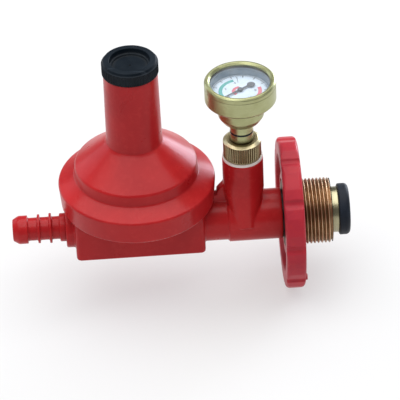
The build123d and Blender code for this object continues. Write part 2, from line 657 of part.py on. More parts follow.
os.makedirs("parts", exist_ok=True)
for name, make in PARTS.items():
    export_step(make(), f"parts/{name}.step")
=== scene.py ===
import math

import bmesh
import bpy
from mathutils import Matrix, Vector


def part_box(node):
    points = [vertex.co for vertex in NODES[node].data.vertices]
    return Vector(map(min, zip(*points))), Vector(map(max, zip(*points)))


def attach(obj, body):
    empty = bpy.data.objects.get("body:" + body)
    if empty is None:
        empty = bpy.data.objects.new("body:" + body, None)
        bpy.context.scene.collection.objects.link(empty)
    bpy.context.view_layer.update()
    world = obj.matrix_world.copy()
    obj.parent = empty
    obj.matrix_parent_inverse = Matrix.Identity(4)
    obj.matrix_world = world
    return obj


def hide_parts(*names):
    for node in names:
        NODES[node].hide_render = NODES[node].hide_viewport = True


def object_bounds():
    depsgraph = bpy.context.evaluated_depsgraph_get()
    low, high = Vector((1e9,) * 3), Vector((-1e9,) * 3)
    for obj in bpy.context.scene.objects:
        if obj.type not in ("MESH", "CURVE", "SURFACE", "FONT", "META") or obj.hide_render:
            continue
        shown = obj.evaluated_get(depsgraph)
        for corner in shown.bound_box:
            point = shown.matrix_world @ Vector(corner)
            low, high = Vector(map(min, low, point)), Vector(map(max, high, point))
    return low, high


# A gas regulator with a handwheel inlet, a dial gauge, a diaphragm housing under a
# spring tower and a hose barb. Metres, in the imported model's frame: +X out of the
# inlet, +Z up.

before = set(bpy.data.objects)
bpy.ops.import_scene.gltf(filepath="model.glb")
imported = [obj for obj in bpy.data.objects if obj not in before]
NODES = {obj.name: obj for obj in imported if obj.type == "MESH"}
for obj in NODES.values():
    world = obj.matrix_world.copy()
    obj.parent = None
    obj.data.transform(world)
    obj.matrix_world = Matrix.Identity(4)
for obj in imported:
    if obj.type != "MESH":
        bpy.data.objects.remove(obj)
CAD_LOW, CAD_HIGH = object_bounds()
MM = 0.001


# ---- places read from the frame --------------------------------------------

def middle(node):
    """Centre of a node's box."""
    low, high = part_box(node)
    return (low + high) / 2


TOWER = middle("bonnet").xy
GAUGE = middle("gauge_lens").xy
TOWER_AXIS = ("Z", TOWER.x)
GAUGE_AXIS = ("Z", GAUGE.x)
PIPE_AXIS = ("X", 0.0)
TOWER_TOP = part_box("bonnet")[1].z
DIAL_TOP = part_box("dial")[1].z

# ---- sizes in millimetres, counts and degrees ------------------------------

CAST_VOXEL = 0.34    # grid that rounds the castings' corners
WHEEL_VOXEL = 0.3
BARB_VOXEL = 0.2

THREAD_CREST = 13.5
THREAD_DEPTH = 0.85
THREAD_PITCH = 1.5
THREAD_LENGTH = 12.6
LEAD_IN = 0.9             # the thread fades in over this length at its open end
RUN_OUT = 1.2             # and out over this length at the hexagon
SLEEVE_HEX = 27.0
SLEEVE_BACK = 19.6
SLEEVE_BORE = 7.55
COLLAR_BORE = 9.55
COLLAR_DEPTH = 3.05

CAP_RIBS = 56
CAP_R = 11.35
CAP_RIB_DEPTH = 0.38
CAP_SHANK_R = 8.95
CAP_SHANK_BORE = 6.8
CAP_LIP_R = 8.15          # inner edge of the cap's top rim
CAP_WELL_R = 6.9
CAP_WELL = 2.75           # depth of the round well in the cap's top
CAP_CROWN = 4.6           # from the cap's top to the underside of its web
PIN_HOLE_R = 0.4          # in the middle of the web

NUT_FOOT = 30.8
NUT_R = 7.72
NUT_FLUTES = 48
NUT_FLUTE_DEPTH = 0.5
NUT_CHAMFER = 0.8         # below the nut's top
NUT_BORE = 3.56
NUT_SPIGOT_R = 5.94

SCALE_START = 215.0       # degrees from +X, where the needle rests on zero
SCALE_SWEEP = 270.0
SCALE_STEPS = 10          # parts between one long tick and the next
SCALE_LINE = (11.0, 11.2)     # inner and outer radius of the line round the ticks
BAND = (7.2, 8.7)             # and of the coloured bands
NUMBER_R = 6.1
NUMBER_SIZE = 1.9

NEEDLE_TIP = 9.9
WEIGHT_AT = -5.6          # centre of the needle's counterweight, behind its hub
WEIGHT_R = 1.65
HUB_R = 1.1
NEEDLE_HALF = 0.45        # half the needle's width at its widest


# ---- material kit ----------------------------------------------------------

class Nodes:
    """One material's node tree, with short calls for the nodes used here."""

    def __init__(self, name):
        self.material = bpy.data.materials.new(name)
        self.material.use_nodes = True
        self.tree = self.material.node_tree
        self.tree.nodes.clear()
        self.shader = self.tree.nodes.new("ShaderNodeBsdfPrincipled")
        output = self.tree.nodes.new("ShaderNodeOutputMaterial")
        self.link(self.shader.outputs["BSDF"], output.inputs["Surface"])
        self.coordinates = self.tree.nodes.new("ShaderNodeTexCoord").outputs["Object"]

    def link(self, source, target):
        self.tree.links.new(source, target)

    def put(self, value, socket):
        """Link a socket's output, or set a constant."""
        if isinstance(value, bpy.types.NodeSocket):
            self.link(value, socket)
        else:
            socket.default_value = value

    def set(self, **constants):
        """Constants on the shader's own sockets, with _ for a space."""
        for name, value in constants.items():
            self.shader.inputs[name.replace("_", " ")].default_value = value

    def math(self, operation, a, b=0.0, clamp=False):
        node = self.tree.nodes.new("ShaderNodeMath")
        node.operation = operation
        node.use_clamp = clamp
        self.put(a, node.inputs[0])
        self.put(b, node.inputs[1])
        return node.outputs[0]

    def scaled(self, x, y, z):
        """Object coordinates stretched along each axis."""
        node = self.tree.nodes.new("ShaderNodeVectorMath")
        node.operation = "MULTIPLY"
        self.link(self.coordinates, node.inputs[0])
        node.inputs[1].default_value = (x, y, z)
        return node.outputs[0]

    def noise(self, scale, detail=3.0, roughness=0.55, vector=None, distortion=0.0):
        node = self.tree.nodes.new("ShaderNodeTexNoise")
        self.put(vector or self.coordinates, node.inputs["Vector"])
        node.inputs["Scale"].default_value = scale
        node.inputs["Detail"].default_value = detail
        node.inputs["Roughness"].default_value = roughness
        node.inputs["Distortion"].default_value = distortion
        return node.outputs["Fac"]

    def cells(self, scale):
        """Distance to the nearest of many scattered points."""
        node = self.tree.nodes.new("ShaderNodeTexVoronoi")
        self.link(self.coordinates, node.inputs["Vector"])
        node.inputs["Scale"].default_value = scale
        return node.outputs["Distance"]

    def span(self, value, low, high, to_low=0.0, to_high=1.0):
        """Map low..high to to_low..to_high, held at both ends."""
        node = self.tree.nodes.new("ShaderNodeMapRange")
        self.put(value, node.inputs["Value"])
        node.inputs["From Min"].default_value = low
        node.inputs["From Max"].default_value = high
        node.inputs["To Min"].default_value = to_low
        node.inputs["To Max"].default_value = to_high
        return node.outputs["Result"]

    def mixed(self, factor, first, second):
        """The first colour at a factor of 0, the second at 1."""
        node = self.tree.nodes.new("ShaderNodeMix")
        node.data_type = "RGBA"
        self.put(factor, node.inputs["Factor"])
        for colour, socket in ((first, node.inputs[6]), (second, node.inputs[7])):
            plain = not isinstance(colour, bpy.types.NodeSocket)
            self.put((*colour, 1.0) if plain else colour, socket)
        return node.outputs[2]

    def turned(self, axis, radial, along, around=0.0):
        """Coordinates round an axis, so that noise in them runs in rings, like tool marks."""
        direction, offset = axis
        split = self.tree.nodes.new("ShaderNodeSeparateXYZ")
        self.link(self.coordinates, split.inputs[0])
        x, y, z = split.outputs
        if direction == "Z":
            side, length = self.math("SUBTRACT", x, offset), z
            cross = y
        else:
            side, length = y, x
            cross = z
        squares = self.math("ADD", self.math("MULTIPLY", side, side), self.math("MULTIPLY", cross, cross))
        radius = self.math("SQRT", squares)
        angle = self.math("ARCTAN2", cross, side)
        joined = self.tree.nodes.new("ShaderNodeCombineXYZ")
        self.put(self.math("MULTIPLY", radius, radial), joined.inputs[0])
        self.put(self.math("MULTIPLY", length, along), joined.inputs[1])
        self.put(self.math("MULTIPLY", angle, around), joined.inputs[2])
        return joined.outputs[0]

    def hollows(self, reach):
        """0 on open faces, up to 1 deep in corners: ambient occlusion, the mask for painted shade there
        and for dust that gathers there.
        """
        node = self.tree.nodes.new("ShaderNodeAmbientOcclusion")
        node.samples = 6
        node.inputs["Distance"].default_value = reach
        return self.math("SUBTRACT", 1.0, node.outputs["AO"], clamp=True)

    def edges(self, low, high):
        """1 along worn, convex edges."""
        node = self.tree.nodes.new("ShaderNodeNewGeometry")
        return self.span(node.outputs["Pointiness"], low, high)

    def bump(self, height, depth, strength=1.0, below=None):
        node = self.tree.nodes.new("ShaderNodeBump")
        node.inputs["Strength"].default_value = strength
        node.inputs["Distance"].default_value = depth
        self.put(height, node.inputs["Height"])
        if below is not None:
            self.link(below, node.inputs["Normal"])
        return node.outputs["Normal"]

    def finish(self, colour, roughness, normal=None):
        self.put(colour, self.shader.inputs["Base Color"])
        self.put(roughness, self.shader.inputs["Roughness"])
        if normal is not None:
            self.link(normal, self.shader.inputs["Normal"])
        return self.material


# ---- materials -------------------------------------------------------------

def red_enamel(name, tone, gloss, coat, cool):
    """Red enamel over a die casting: uneven tone, orange peel, and in the corners painted shade, rougher
    there as if soiled.

    cool adds green and blue, for a pinker red.
    """
    n = Nodes(name)
    broad = n.noise(38, 3.0)
    fine = n.noise(420, 4.0, 0.6)
    colour = n.mixed(n.span(broad, 0.35, 0.68), (0.48 * tone, 0.016 + cool / 2, 0.018 + cool),
                    (0.38 * tone, 0.010 + cool / 2, 0.013 + cool))
    colour = n.mixed(n.span(fine, 0.5, 0.8, 0.0, 0.35), colour, (0.58 * tone, 0.04, 0.035))
    # painted shade: ambient occlusion darkens the red in the corners, mottled by noise; the same mask
    # makes the paint rougher there, as soil would
    corner = n.hollows(0.004)
    shade_and_grime = n.math("MULTIPLY", corner, n.span(n.noise(160, 5.0), 0.3, 0.7, 0.35, 1.0))
    colour = n.mixed(n.math("MULTIPLY", shade_and_grime, 0.55, clamp=True), colour, (0.11, 0.008, 0.010))
    colour = n.mixed(n.math("MULTIPLY", n.edges(0.53, 0.62), 0.35), colour, (0.62, 0.075, 0.06))
    specks = n.span(n.cells(230), 0.0, 0.09, 1.0, 0.0)
    specks = n.math("MULTIPLY", specks, n.span(n.noise(70), 0.58, 0.66))
    colour = n.mixed(n.math("MULTIPLY", specks, 0.6), colour, (0.16, 0.01, 0.012))
    roughness = n.math("ADD", n.span(n.noise(90, 4.0), 0.3, 0.7, gloss, gloss + 0.1),
                       n.math("MULTIPLY", shade_and_grime, 0.25))
    normal = n.bump(n.noise(75, 2.0), 0.0007, 0.22)
    normal = n.bump(n.noise(620, 2.0, 0.45), 0.00006, 0.35, normal)
    normal = n.bump(specks, 0.00005, 0.5, normal)
    n.set(Coat_Weight=coat, Coat_Roughness=0.14, Specular_IOR_Level=0.14)
    return n.finish(colour, roughness, normal)


def turned_brass(name, axis, bright, dull, rough=0.2, shade_and_tarnish=0.7, metal=1.0):
    """Brass off the lathe: rings of tool marks, a little tarnish in patches, and painted shade with some
    tarnish in the corners.

    grime sets how dark the painted shade and tarnish in the corners go, and metal how metallic the
    surface is.
    """
    n = Nodes(name)
    rings = n.noise(1.0, 2.0, 0.6, n.turned(axis, 5200, 5200, 0.35))
    wide = n.noise(1.0, 2.0, 0.5, n.turned(axis, 900, 900, 0.8))
    tarnish = n.noise(120, 5.0, 0.6)
    colour = n.mixed(n.span(tarnish, 0.42, 0.68, 0.0, 0.8), bright, dull)
    colour = n.mixed(n.span(wide, 0.35, 0.7, 0.0, 0.35), colour, dull)
    # painted shade: ambient occlusion darkens the brass to dark brown in corners and grooves, standing
    # for shade with some tarnish
    corner = n.math("MULTIPLY", n.hollows(0.0025), shade_and_tarnish, clamp=True)
    colour = n.mixed(corner, colour, (0.09, 0.055, 0.02))
    roughness = n.math("ADD", n.span(rings, 0.3, 0.7, rough, rough + 0.14),
                       n.span(tarnish, 0.5, 0.75, 0.0, 0.18))
    normal = n.bump(rings, 0.00003, 0.5)
    normal = n.bump(wide, 0.00008, 0.25, normal)
    n.set(Metallic=metal)
    return n.finish(colour, roughness, normal)


def black_rubber(name, tint):
    """Moulded rubber: matt, with a fine grain and pale bloom."""
    n = Nodes(name)
    bloom = n.noise(150, 5.0, 0.65)
    pale = tuple(c * 1.9 + 0.004 for c in tint)
    colour = n.mixed(n.span(bloom, 0.45, 0.75, 0.0, 0.7), tint, pale)
    grain = n.noise(2600, 3.0)
    normal = n.bump(grain, 0.00004, 0.5)
    normal = n.bump(n.noise(240, 2.0), 0.00012, 0.3, normal)
    n.set(Specular_IOR_Level=0.15, Sheen_Weight=0.05)
    return n.finish(colour, n.span(bloom, 0.3, 0.7, 0.42, 0.62), normal)


def moulded_plastic(name, tint, gloss):
    """Injection-moulded plastic with a fine spark texture and handling marks."""
    n = Nodes(name)
    patch = n.noise(95, 4.0)
    lighter = tuple(c * 1.7 + 0.008 for c in tint)
    scuffed = tuple(c * 3 + 0.03 for c in tint)
    colour = n.mixed(n.span(patch, 0.4, 0.7, 0.0, 0.6), tint, lighter)
    scratch = n.span(n.noise(30, 6.0, 0.7, n.scaled(1, 14, 3), 0.6), 0.62, 0.66)
    colour = n.mixed(n.math("MULTIPLY", scratch, 0.35), colour, scuffed)
    dust = n.math("MULTIPLY", n.hollows(0.0015), 0.5, clamp=True)
    colour = n.mixed(n.math("MULTIPLY", dust, n.noise(500, 3.0)), colour, (0.20, 0.19, 0.17))
    roughness = n.math("ADD", n.span(patch, 0.3, 0.7, gloss, gloss + 0.16),
                       n.math("MULTIPLY", scratch, 0.15))
    normal = n.bump(n.noise(1900, 3.0), 0.00004, 0.5)
    n.set(Specular_IOR_Level=0.08)
    return n.finish(colour, roughness, normal)


def plated_steel(name, axis, tint):
    """Plated or blacked steel with faint turning rings and dull patches."""
    n = Nodes(name)
    rings = n.noise(1.0, 3.0, 0.6, n.turned(axis, 3000, 3000, 0.5))
    patch = n.noise(110, 4.0)
    colour = n.mixed(n.span(patch, 0.4, 0.7), tint, tuple(c * 0.72 for c in tint))
    n.set(Metallic=1.0)
    return n.finish(colour, n.span(patch, 0.3, 0.7, 0.24, 0.42), n.bump(rings, 0.00004, 0.45))


def sintered(name):
    """Porous sintered bronze: packed grains with dark pores."""
    n = Nodes(name)
    grains = n.cells(3600)
    colour = n.mixed(n.span(grains, 0.1, 0.6), (0.55, 0.40, 0.20), (0.10, 0.07, 0.03))
    n.set(Metallic=1.0)
    return n.finish(colour, n.span(grains, 0.0, 0.6, 0.35, 0.75), n.bump(grains, -0.0001, 0.8))


def dial_card(name):
    """White enamelled dial, very slightly blue, with a faint cloudiness."""
    n = Nodes(name)
    cloud = n.noise(200, 4.0)
    colour = n.mixed(n.span(cloud, 0.35, 0.7), (0.66, 0.76, 0.86), (0.57, 0.68, 0.80))
    normal = n.bump(n.noise(1500, 2.0), 0.00002, 0.3)
    return n.finish(colour, n.span(cloud, 0.3, 0.7, 0.34, 0.46), normal)


def printing_ink(name, tint):
    """Screen-printed ink, slightly uneven in cover."""
    n = Nodes(name)
    cover = n.noise(1400, 3.0)
    pale = tuple(c * 0.8 + 0.12 for c in tint)
    return n.finish(n.mixed(n.span(cover, 0.45, 0.75, 0.0, 0.5), tint, pale),
                    n.span(cover, 0.3, 0.7, 0.4, 0.55), n.bump(cover, 0.00001, 0.4))


def lens_clear(name):
    """Thin clear lens: nearly transparent, with a faint pale blue haze of painted reflection, thicker and
    rougher in smears.
    """
    n = Nodes(name)
    smear_and_reflection = n.noise(110, 4.0, 0.6, n.scaled(1, 2.5, 1))
    n.set(Specular_IOR_Level=0.9)
    # painted reflection: the pale blue colour at this low opacity stands for light that the glass
    # reflects
    n.put(n.span(smear_and_reflection, 0.4, 0.75, 0.05, 0.13), n.shader.inputs["Alpha"])
    return n.finish((0.86, 0.92, 0.97, 1.0), n.span(smear_and_reflection, 0.4, 0.75, 0.04, 0.16))


def white_washer(name):
    """White plastic washer, with painted shade at its edge, where other parts come close."""
    n = Nodes(name)
    patch = n.noise(180, 4.0)
    colour = n.mixed(n.span(patch, 0.4, 0.7), (0.86, 0.80, 0.76), (0.74, 0.66, 0.62))
    # painted shade: ambient occlusion turns the washer brown near the parts that hold it
    colour = n.mixed(n.math("MULTIPLY", n.hollows(0.002), 0.4, clamp=True), colour, (0.45, 0.30, 0.26))
    return n.finish(colour, n.span(patch, 0.3, 0.7, 0.4, 0.55), n.bump(n.noise(900, 3.0), 0.00005, 0.4))


RED = red_enamel("red_enamel", tone=1.0, gloss=0.26, coat=0.12, cool=0.0)
WHEEL_RED = red_enamel("wheel_enamel", tone=1.0, gloss=0.36, coat=0.05, cool=0.026)
THREAD_BRASS = turned_brass("thread_brass", PIPE_AXIS, (0.62, 0.42, 0.26), (0.36, 0.22, 0.12),
                            rough=0.3, shade_and_tarnish=1.1)
# painted shade: the hexagon's brass is painted near black and rough, so that it shows no pale reflection
# in the dark gap beside the wheel
SHADED_BRASS = turned_brass("shade_painted_brass", PIPE_AXIS, (0.13, 0.08, 0.04), (0.08, 0.045, 0.02),
                          rough=0.5)
NIPPLE_BRASS = turned_brass("nipple_brass", PIPE_AXIS, (0.44, 0.42, 0.28), (0.32, 0.28, 0.16))
GAUGE_BRASS = turned_brass("gauge_brass", GAUGE_AXIS, (0.42, 0.43, 0.23), (0.34, 0.34, 0.16),
                           rough=0.24, shade_and_tarnish=0.8, metal=0.88)
NUT_BRASS = turned_brass("nut_brass", GAUGE_AXIS, (0.66, 0.58, 0.36), (0.46, 0.37, 0.19),
                         rough=0.24, shade_and_tarnish=2.4, metal=0.9)
TOWER_BRASS = turned_brass("valve_brass", TOWER_AXIS, (0.80, 0.66, 0.30), (0.50, 0.37, 0.13))
RUBBER = black_rubber("black_rubber", (0.009, 0.013, 0.021))
CLOTH_RUBBER = black_rubber("diaphragm_rubber", (0.045, 0.045, 0.045))
CAP_PLASTIC = moulded_plastic("cap_plastic", (0.004, 0.008, 0.013), 0.36)
SPACER_PLASTIC = moulded_plastic("spacer_plastic", (0.15, 0.21, 0.27), 0.35)
STEEL = plated_steel("plated_steel", TOWER_AXIS, (0.62, 0.62, 0.60))
SPRING = plated_steel("spring_wire", TOWER_AXIS, (0.42, 0.43, 0.45))
BLACKED = plated_steel("blacked_steel", PIPE_AXIS, (0.05, 0.045, 0.045))
SINTER = sintered("sintered_bronze")
CARD = dial_card("dial_card")
LENS = lens_clear("lens_clear")
WASHER = white_washer("washer_white")
INK_BLACK = printing_ink("ink_black", (0.02, 0.02, 0.03))
INK_TEAL = printing_ink("ink_teal", (0.03, 0.33, 0.30))
INK_RED = printing_ink("ink_red", (0.62, 0.12, 0.16))
NEEDLE_PAINT = printing_ink("needle_paint", (0.03, 0.035, 0.045))


# ---- mesh kit --------------------------------------------------------------

def rounded(corners, pieces=5):
    """A closed outline from (across, along, fillet) corners, in millimetres."""
    line = []
    count = len(corners)
    for i, (across, along, radius) in enumerate(corners):
        here = Vector((across, along))
        before = Vector(corners[i - 1][:2]) - here
        after = Vector(corners[(i + 1) % count][:2]) - here
        if radius <= 0:
            line.append(here)
            continue
        half = before.angle(after) / 2
        reach = radius / math.tan(half)
        centre = here + (before.normalized() + after.normalized()).normalized() * radius / math.sin(half)
        start = here + before.normalized() * reach - centre
        end = here + after.normalized() * reach - centre
        turn = start.angle_signed(end)
        for k in range(pieces + 1):
            line.append(centre + Matrix.Rotation(-turn * k / pieces, 2) @ start)
    return line


def divided(line, longest):
    """The same closed outline, with no step longer than longest."""
    fine = []
    for i, point in enumerate(line):
        following = line[(i + 1) % len(line)]
        steps = max(1, math.ceil((following - point).length / longest))
        fine += [point.lerp(following, k / steps) for k in range(steps)]
    return fine


def on_axis(axis, radius, along, angle):
    """A point in metres from its radius and place along the axis, in millimetres."""
    direction, offset = axis
    side, cross = radius * math.cos(angle) * MM, radius * math.sin(angle) * MM
    if direction == "Z":
        return (offset + side, cross, along * MM)
    return (along * MM, side, cross)


def revolved(line, axis, steps, shape=None):
    """Turn a closed outline round an axis. shape(radius, along, angle) may change the radius."""
    points, faces = [], []
    for j in range(steps):
        angle = 2 * math.pi * j / steps
        for across, along in line:
            radius = shape(across, along, angle) if shape else across
            points.append(on_axis(axis, radius, along, angle))
    count = len(line)
    for j in range(steps):
        here, there = j * count, (j + 1) % steps * count
        for i in range(count):
            k = (i + 1) % count
            faces.append((here + i, here + k, there + k, there + i))
    return points, faces


def joined(*shapes):
    """Several (points, faces) as one."""
    points, faces = [], []
    for more_points, more_faces in shapes:
        start = len(points)
        points += more_points
        faces += [tuple(start + i for i in face) for face in more_faces]
    return points, faces


def finish_mesh(mesh, sharp):
    """Consistent normals, smooth faces and hard edges above an angle."""
    work = bmesh.new()
    work.from_mesh(mesh)
    bmesh.ops.remove_doubles(work, verts=work.verts, dist=1e-7)
    bmesh.ops.recalc_face_normals(work, faces=work.faces)
    work.to_mesh(mesh)
    work.free()
    mesh.shade_smooth()
    mesh.set_sharp_from_angle(angle=math.radians(sharp))


def piece(name, shape, material, body, nodes=(), sharp=38):
    """A mesh object that rides on a body and stands for some CAD nodes."""
    points, faces = shape
    mesh = bpy.data.meshes.new(name)
    mesh.from_pydata(points, [], faces)
    finish_mesh(mesh, sharp)
    return placed(name, mesh, material, body, nodes)


def placed(name, mesh, material, body, nodes):
    """Put a finished mesh in the scene, on its body."""
    mesh.materials.clear()
    mesh.materials.append(material)
    made = bpy.data.objects.new(name, mesh)
    bpy.context.scene.collection.objects.link(made)
    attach(made, body)
    if nodes:
        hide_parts(*nodes)
    return made


def cast(name, node, voxel, passes, material, body):
    """The CAD node with every corner rounded as in a coated casting."""
    rough = NODES[node].copy()
    rough.data = NODES[node].data.copy()
    rough.parent = None
    bpy.context.scene.collection.objects.link(rough)
    weld = rough.modifiers.new("weld", "WELD")
    weld.merge_threshold = 1e-6
    grid = rough.modifiers.new("grid", "REMESH")
    grid.mode = "VOXEL"
    grid.voxel_size = voxel * MM
    soften = rough.modifiers.new("soften", "SMOOTH")
    soften.factor = 0.5
    soften.iterations = passes
    evaluated = rough.evaluated_get(bpy.context.evaluated_depsgraph_get())
    mesh = bpy.data.meshes.new_from_object(evaluated)
    bpy.data.objects.remove(rough)
    mesh.shade_smooth()
    return placed(name, mesh, material, body, (node,))


# ---- red castings ----------------------------------------------------------

cast("body_casting", "lower_body", CAST_VOXEL, 5, RED, "regulator_body")
cast("wheel_casting", "handwheel", WHEEL_VOXEL, 6, WHEEL_RED, "coupling")
cast("barb_casting", "hose_barb", BARB_VOXEL, 4, RED, "regulator_body")


# ---- inlet thread ----------------------------------------------------------

def thread_radius(radius, along, angle):
    """Helical ridges with rounded crests, fading out at both ends."""
    if radius < THREAD_CREST - 0.3:
        return radius
    phase = (along / THREAD_PITCH - angle / (2 * math.pi)) % 1.0
    ridge = 1 - abs(2 * phase - 1)
    ridge = min(1.0, max(0.0, ridge * 1.25 - 0.06))
    ridge = ridge * ridge * (3 - 2 * ridge) * 0.35 + ridge * 0.65
    lead = min(1.0, -along / LEAD_IN)
    tail = min(1.0, (along + THREAD_LENGTH) / RUN_OUT)
    cut = radius - THREAD_DEPTH * (1 - ridge) * max(0.0, tail)
    return cut - THREAD_DEPTH * (1 - max(0.0, lead)) * 0.9


def threaded_part():
    """The threaded length, open for the nipple and its collar."""
    walls = [Vector((COLLAR_BORE, 0)), Vector((THREAD_CREST, 0)), Vector((THREAD_CREST, -THREAD_LENGTH)),
             Vector((SLEEVE_BORE, -THREAD_LENGTH)), Vector((SLEEVE_BORE, -COLLAR_DEPTH)),
             Vector((COLLAR_BORE, -COLLAR_DEPTH))]
    return revolved(divided(walls, 0.09), PIPE_AXIS, 200, thread_radius)


def hexagon_part():
    """Hexagon that grips the handwheel, with turned chamfers on its far end."""
    def six_sided(radius, along, angle):
        if radius < 10:
            return radius
        side = (angle + math.pi / 6) % (math.pi / 3) - math.pi / 6
        return min(radius, SLEEVE_HEX / 2 / math.cos(side))
    corner = SLEEVE_HEX / 2 / math.cos(math.pi / 6)
    line = rounded([
        (SLEEVE_BORE, -THREAD_LENGTH, 0), (corner, -THREAD_LENGTH, 0), (corner, -SLEEVE_BACK + 0.9, 0),
        (SLEEVE_HEX / 2 - 0.1, -SLEEVE_BACK, 0), (SLEEVE_BORE + 0.4, -SLEEVE_BACK, 0),
        (SLEEVE_BORE, -SLEEVE_BACK + 0.4, 0),
    ])
    return revolved(line, PIPE_AXIS, 144, six_sided)


piece("inlet_thread", threaded_part(), THREAD_BRASS, "coupling", ("threaded_sleeve",), 50)
piece("sleeve_hexagon", hexagon_part(), SHADED_BRASS, "coupling", sharp=50)


# ---- adjusting cap ---------------------------------------------------------

def cap_part():
    """Ribbed cap with a round well in its top, on a hollow shank."""
    seat = TOWER_TOP / MM + 0.05
    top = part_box("adjusting_cap")[1].z / MM
    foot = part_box("adjusting_cap")[0].z / MM

    def ribbed(radius, along, angle):
        if radius < CAP_R - 0.55 or along > top - 1.3 or along < seat + 0.25:
            return radius
        wave = math.cos(angle * CAP_RIBS)
        return radius - CAP_RIB_DEPTH * (0.5 - 0.5 * wave) ** 0.7

    line = rounded([
        (CAP_SHANK_BORE, foot, 0.2), (CAP_SHANK_R, foot, 0.4), (CAP_SHANK_R, seat, 0),
        (CAP_R, seat, 0.25), (CAP_R, top - 1.25, 0.15), (CAP_R - 0.5, top - 1.0, 0.1),
        (CAP_R - 0.9, top, 0.45), (CAP_LIP_R, top, 0.35), (CAP_LIP_R - 0.4, top - 1.9, 0.3),
        (CAP_WELL_R + 0.2, top - 2.1, 0.15), (CAP_WELL_R, top - CAP_WELL, 0.15),
        (PIN_HOLE_R, top - CAP_WELL, 0), (PIN_HOLE_R, top - CAP_CROWN, 0),
        (CAP_SHANK_BORE, top - CAP_CROWN, 1.0),
    ])
    return revolved(divided(line, 0.5), TOWER_AXIS, CAP_RIBS * (10), ribbed)


piece("ribbed_cap", cap_part(), CAP_PLASTIC, "adjuster", ("adjusting_cap",), 45)


# ---- gauge nut -------------------------------------------------------------

def nut_part():
    """Knurled nut with a chamfered top, on its spigot."""
    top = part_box("gauge_nut")[1].z / MM
    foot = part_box("gauge_nut")[0].z / MM

    def knurled(radius, along, angle):
        if radius < NUT_R - 0.2 or not NUT_FOOT + 0.3 < along < top - NUT_CHAMFER - 0.1:
            return radius
        wave = abs((angle * NUT_FLUTES / (2 * math.pi)) % 1.0 * 2 - 1)
        return radius - NUT_FLUTE_DEPTH * min(1.0, wave * 1.5) ** 2

    line = rounded([
        (NUT_BORE, foot, 0), (NUT_SPIGOT_R, foot, 0.3), (NUT_SPIGOT_R, NUT_FOOT, 0),
        (NUT_R, NUT_FOOT, 0.25), (NUT_R, top - NUT_CHAMFER, 0.2), (NUT_R - 1.2, top, 0.3),
        (NUT_BORE, top, 0),
    ])
    return revolved(divided(line, 0.45), GAUGE_AXIS, NUT_FLUTES * (8), knurled)


piece("knurled_nut", nut_part(), NUT_BRASS, "regulator_body", ("gauge_nut",), 40)


# ---- dial ------------------------------------------------------------------

INK_FOOT = DIAL_TOP / MM - 0.01
INK_TOP = DIAL_TOP / MM + 0.025


def printed(inner, outer, start, end, steps):
    """A ring sector of ink round the gauge axis, in millimetres and degrees."""
    points, faces = [], []
    for k in range(steps + 1):
        angle = math.radians(start + (end - start) * k / steps)
        for radius, height in ((inner, INK_FOOT), (outer, INK_FOOT), (outer, INK_TOP), (inner, INK_TOP)):
            points.append(on_axis(GAUGE_AXIS, radius, height, angle))
    for k in range(steps):
        for i in range(4):
            j = (i + 1) % 4
            faces.append((4 * k + i, 4 * k + j, 4 * k + 4 + j, 4 * k + 4 + i))
    last = 4 * steps
    faces += [(0, 1, 2, 3), (last, last + 3, last + 2, last + 1)]
    return points, faces


def scale_ticks():
    """Eleven long, wide ticks, four short ones between each pair, and a line round them all."""
    rim, outer = SCALE_LINE
    ticks = []
    for k in range(SCALE_STEPS * 5 + 1):
        angle = SCALE_START - SCALE_SWEEP * k / (SCALE_STEPS * 5)
        inner, half = (9.6, 1.1) if k % 5 == 0 else (10.3, 0.5)
        ticks.append(printed(inner, rim, angle - half, angle + half, 1))
    return joined(*ticks, printed(rim, outer, SCALE_START, SCALE_START - SCALE_SWEEP, 90))


def scale_numbers():
    """Plain even numbers, 0 to 10, round the scale, as flat meshes."""
    shapes = []
    for k in range(0, SCALE_STEPS + 1, 2):
        text = bpy.data.curves.new("number", "FONT")
        text.body = str(k)
        text.size = NUMBER_SIZE * MM
        text.align_x = "CENTER"
        text.align_y = "CENTER"
        text.extrude = 0.012 * MM
        holder = bpy.data.objects.new("number", text)
        bpy.context.scene.collection.objects.link(holder)
        angle = math.radians(SCALE_START - SCALE_SWEEP * k / SCALE_STEPS)
        x, y, z = on_axis(GAUGE_AXIS, NUMBER_R, INK_TOP - 0.01, angle)
        mesh = bpy.data.meshes.new_from_object(holder)
        shapes.append(([tuple(Vector((x, y, z)) + v.co) for v in mesh.vertices],
                       [tuple(p.vertices) for p in mesh.polygons]))
        bpy.data.objects.remove(holder)
    return joined(*shapes)


piece("dial_ticks", scale_ticks(), INK_BLACK, "gauge")
piece("dial_numbers", scale_numbers(), INK_BLACK, "gauge")
piece("dial_safe_band", printed(*BAND, 106, 208, 60), INK_TEAL, "gauge")
piece("dial_red_band", printed(*BAND, -55, 15, 40), INK_RED, "gauge")
piece("dial_red_mark", printed(2.0, 3.4, 95, 235, 24), INK_RED, "gauge")
piece("dial_long_tick", printed(6.0, 10.4, 93.3, 94.7, 2), INK_BLACK, "gauge")


# ---- pointer ---------------------------------------------------------------

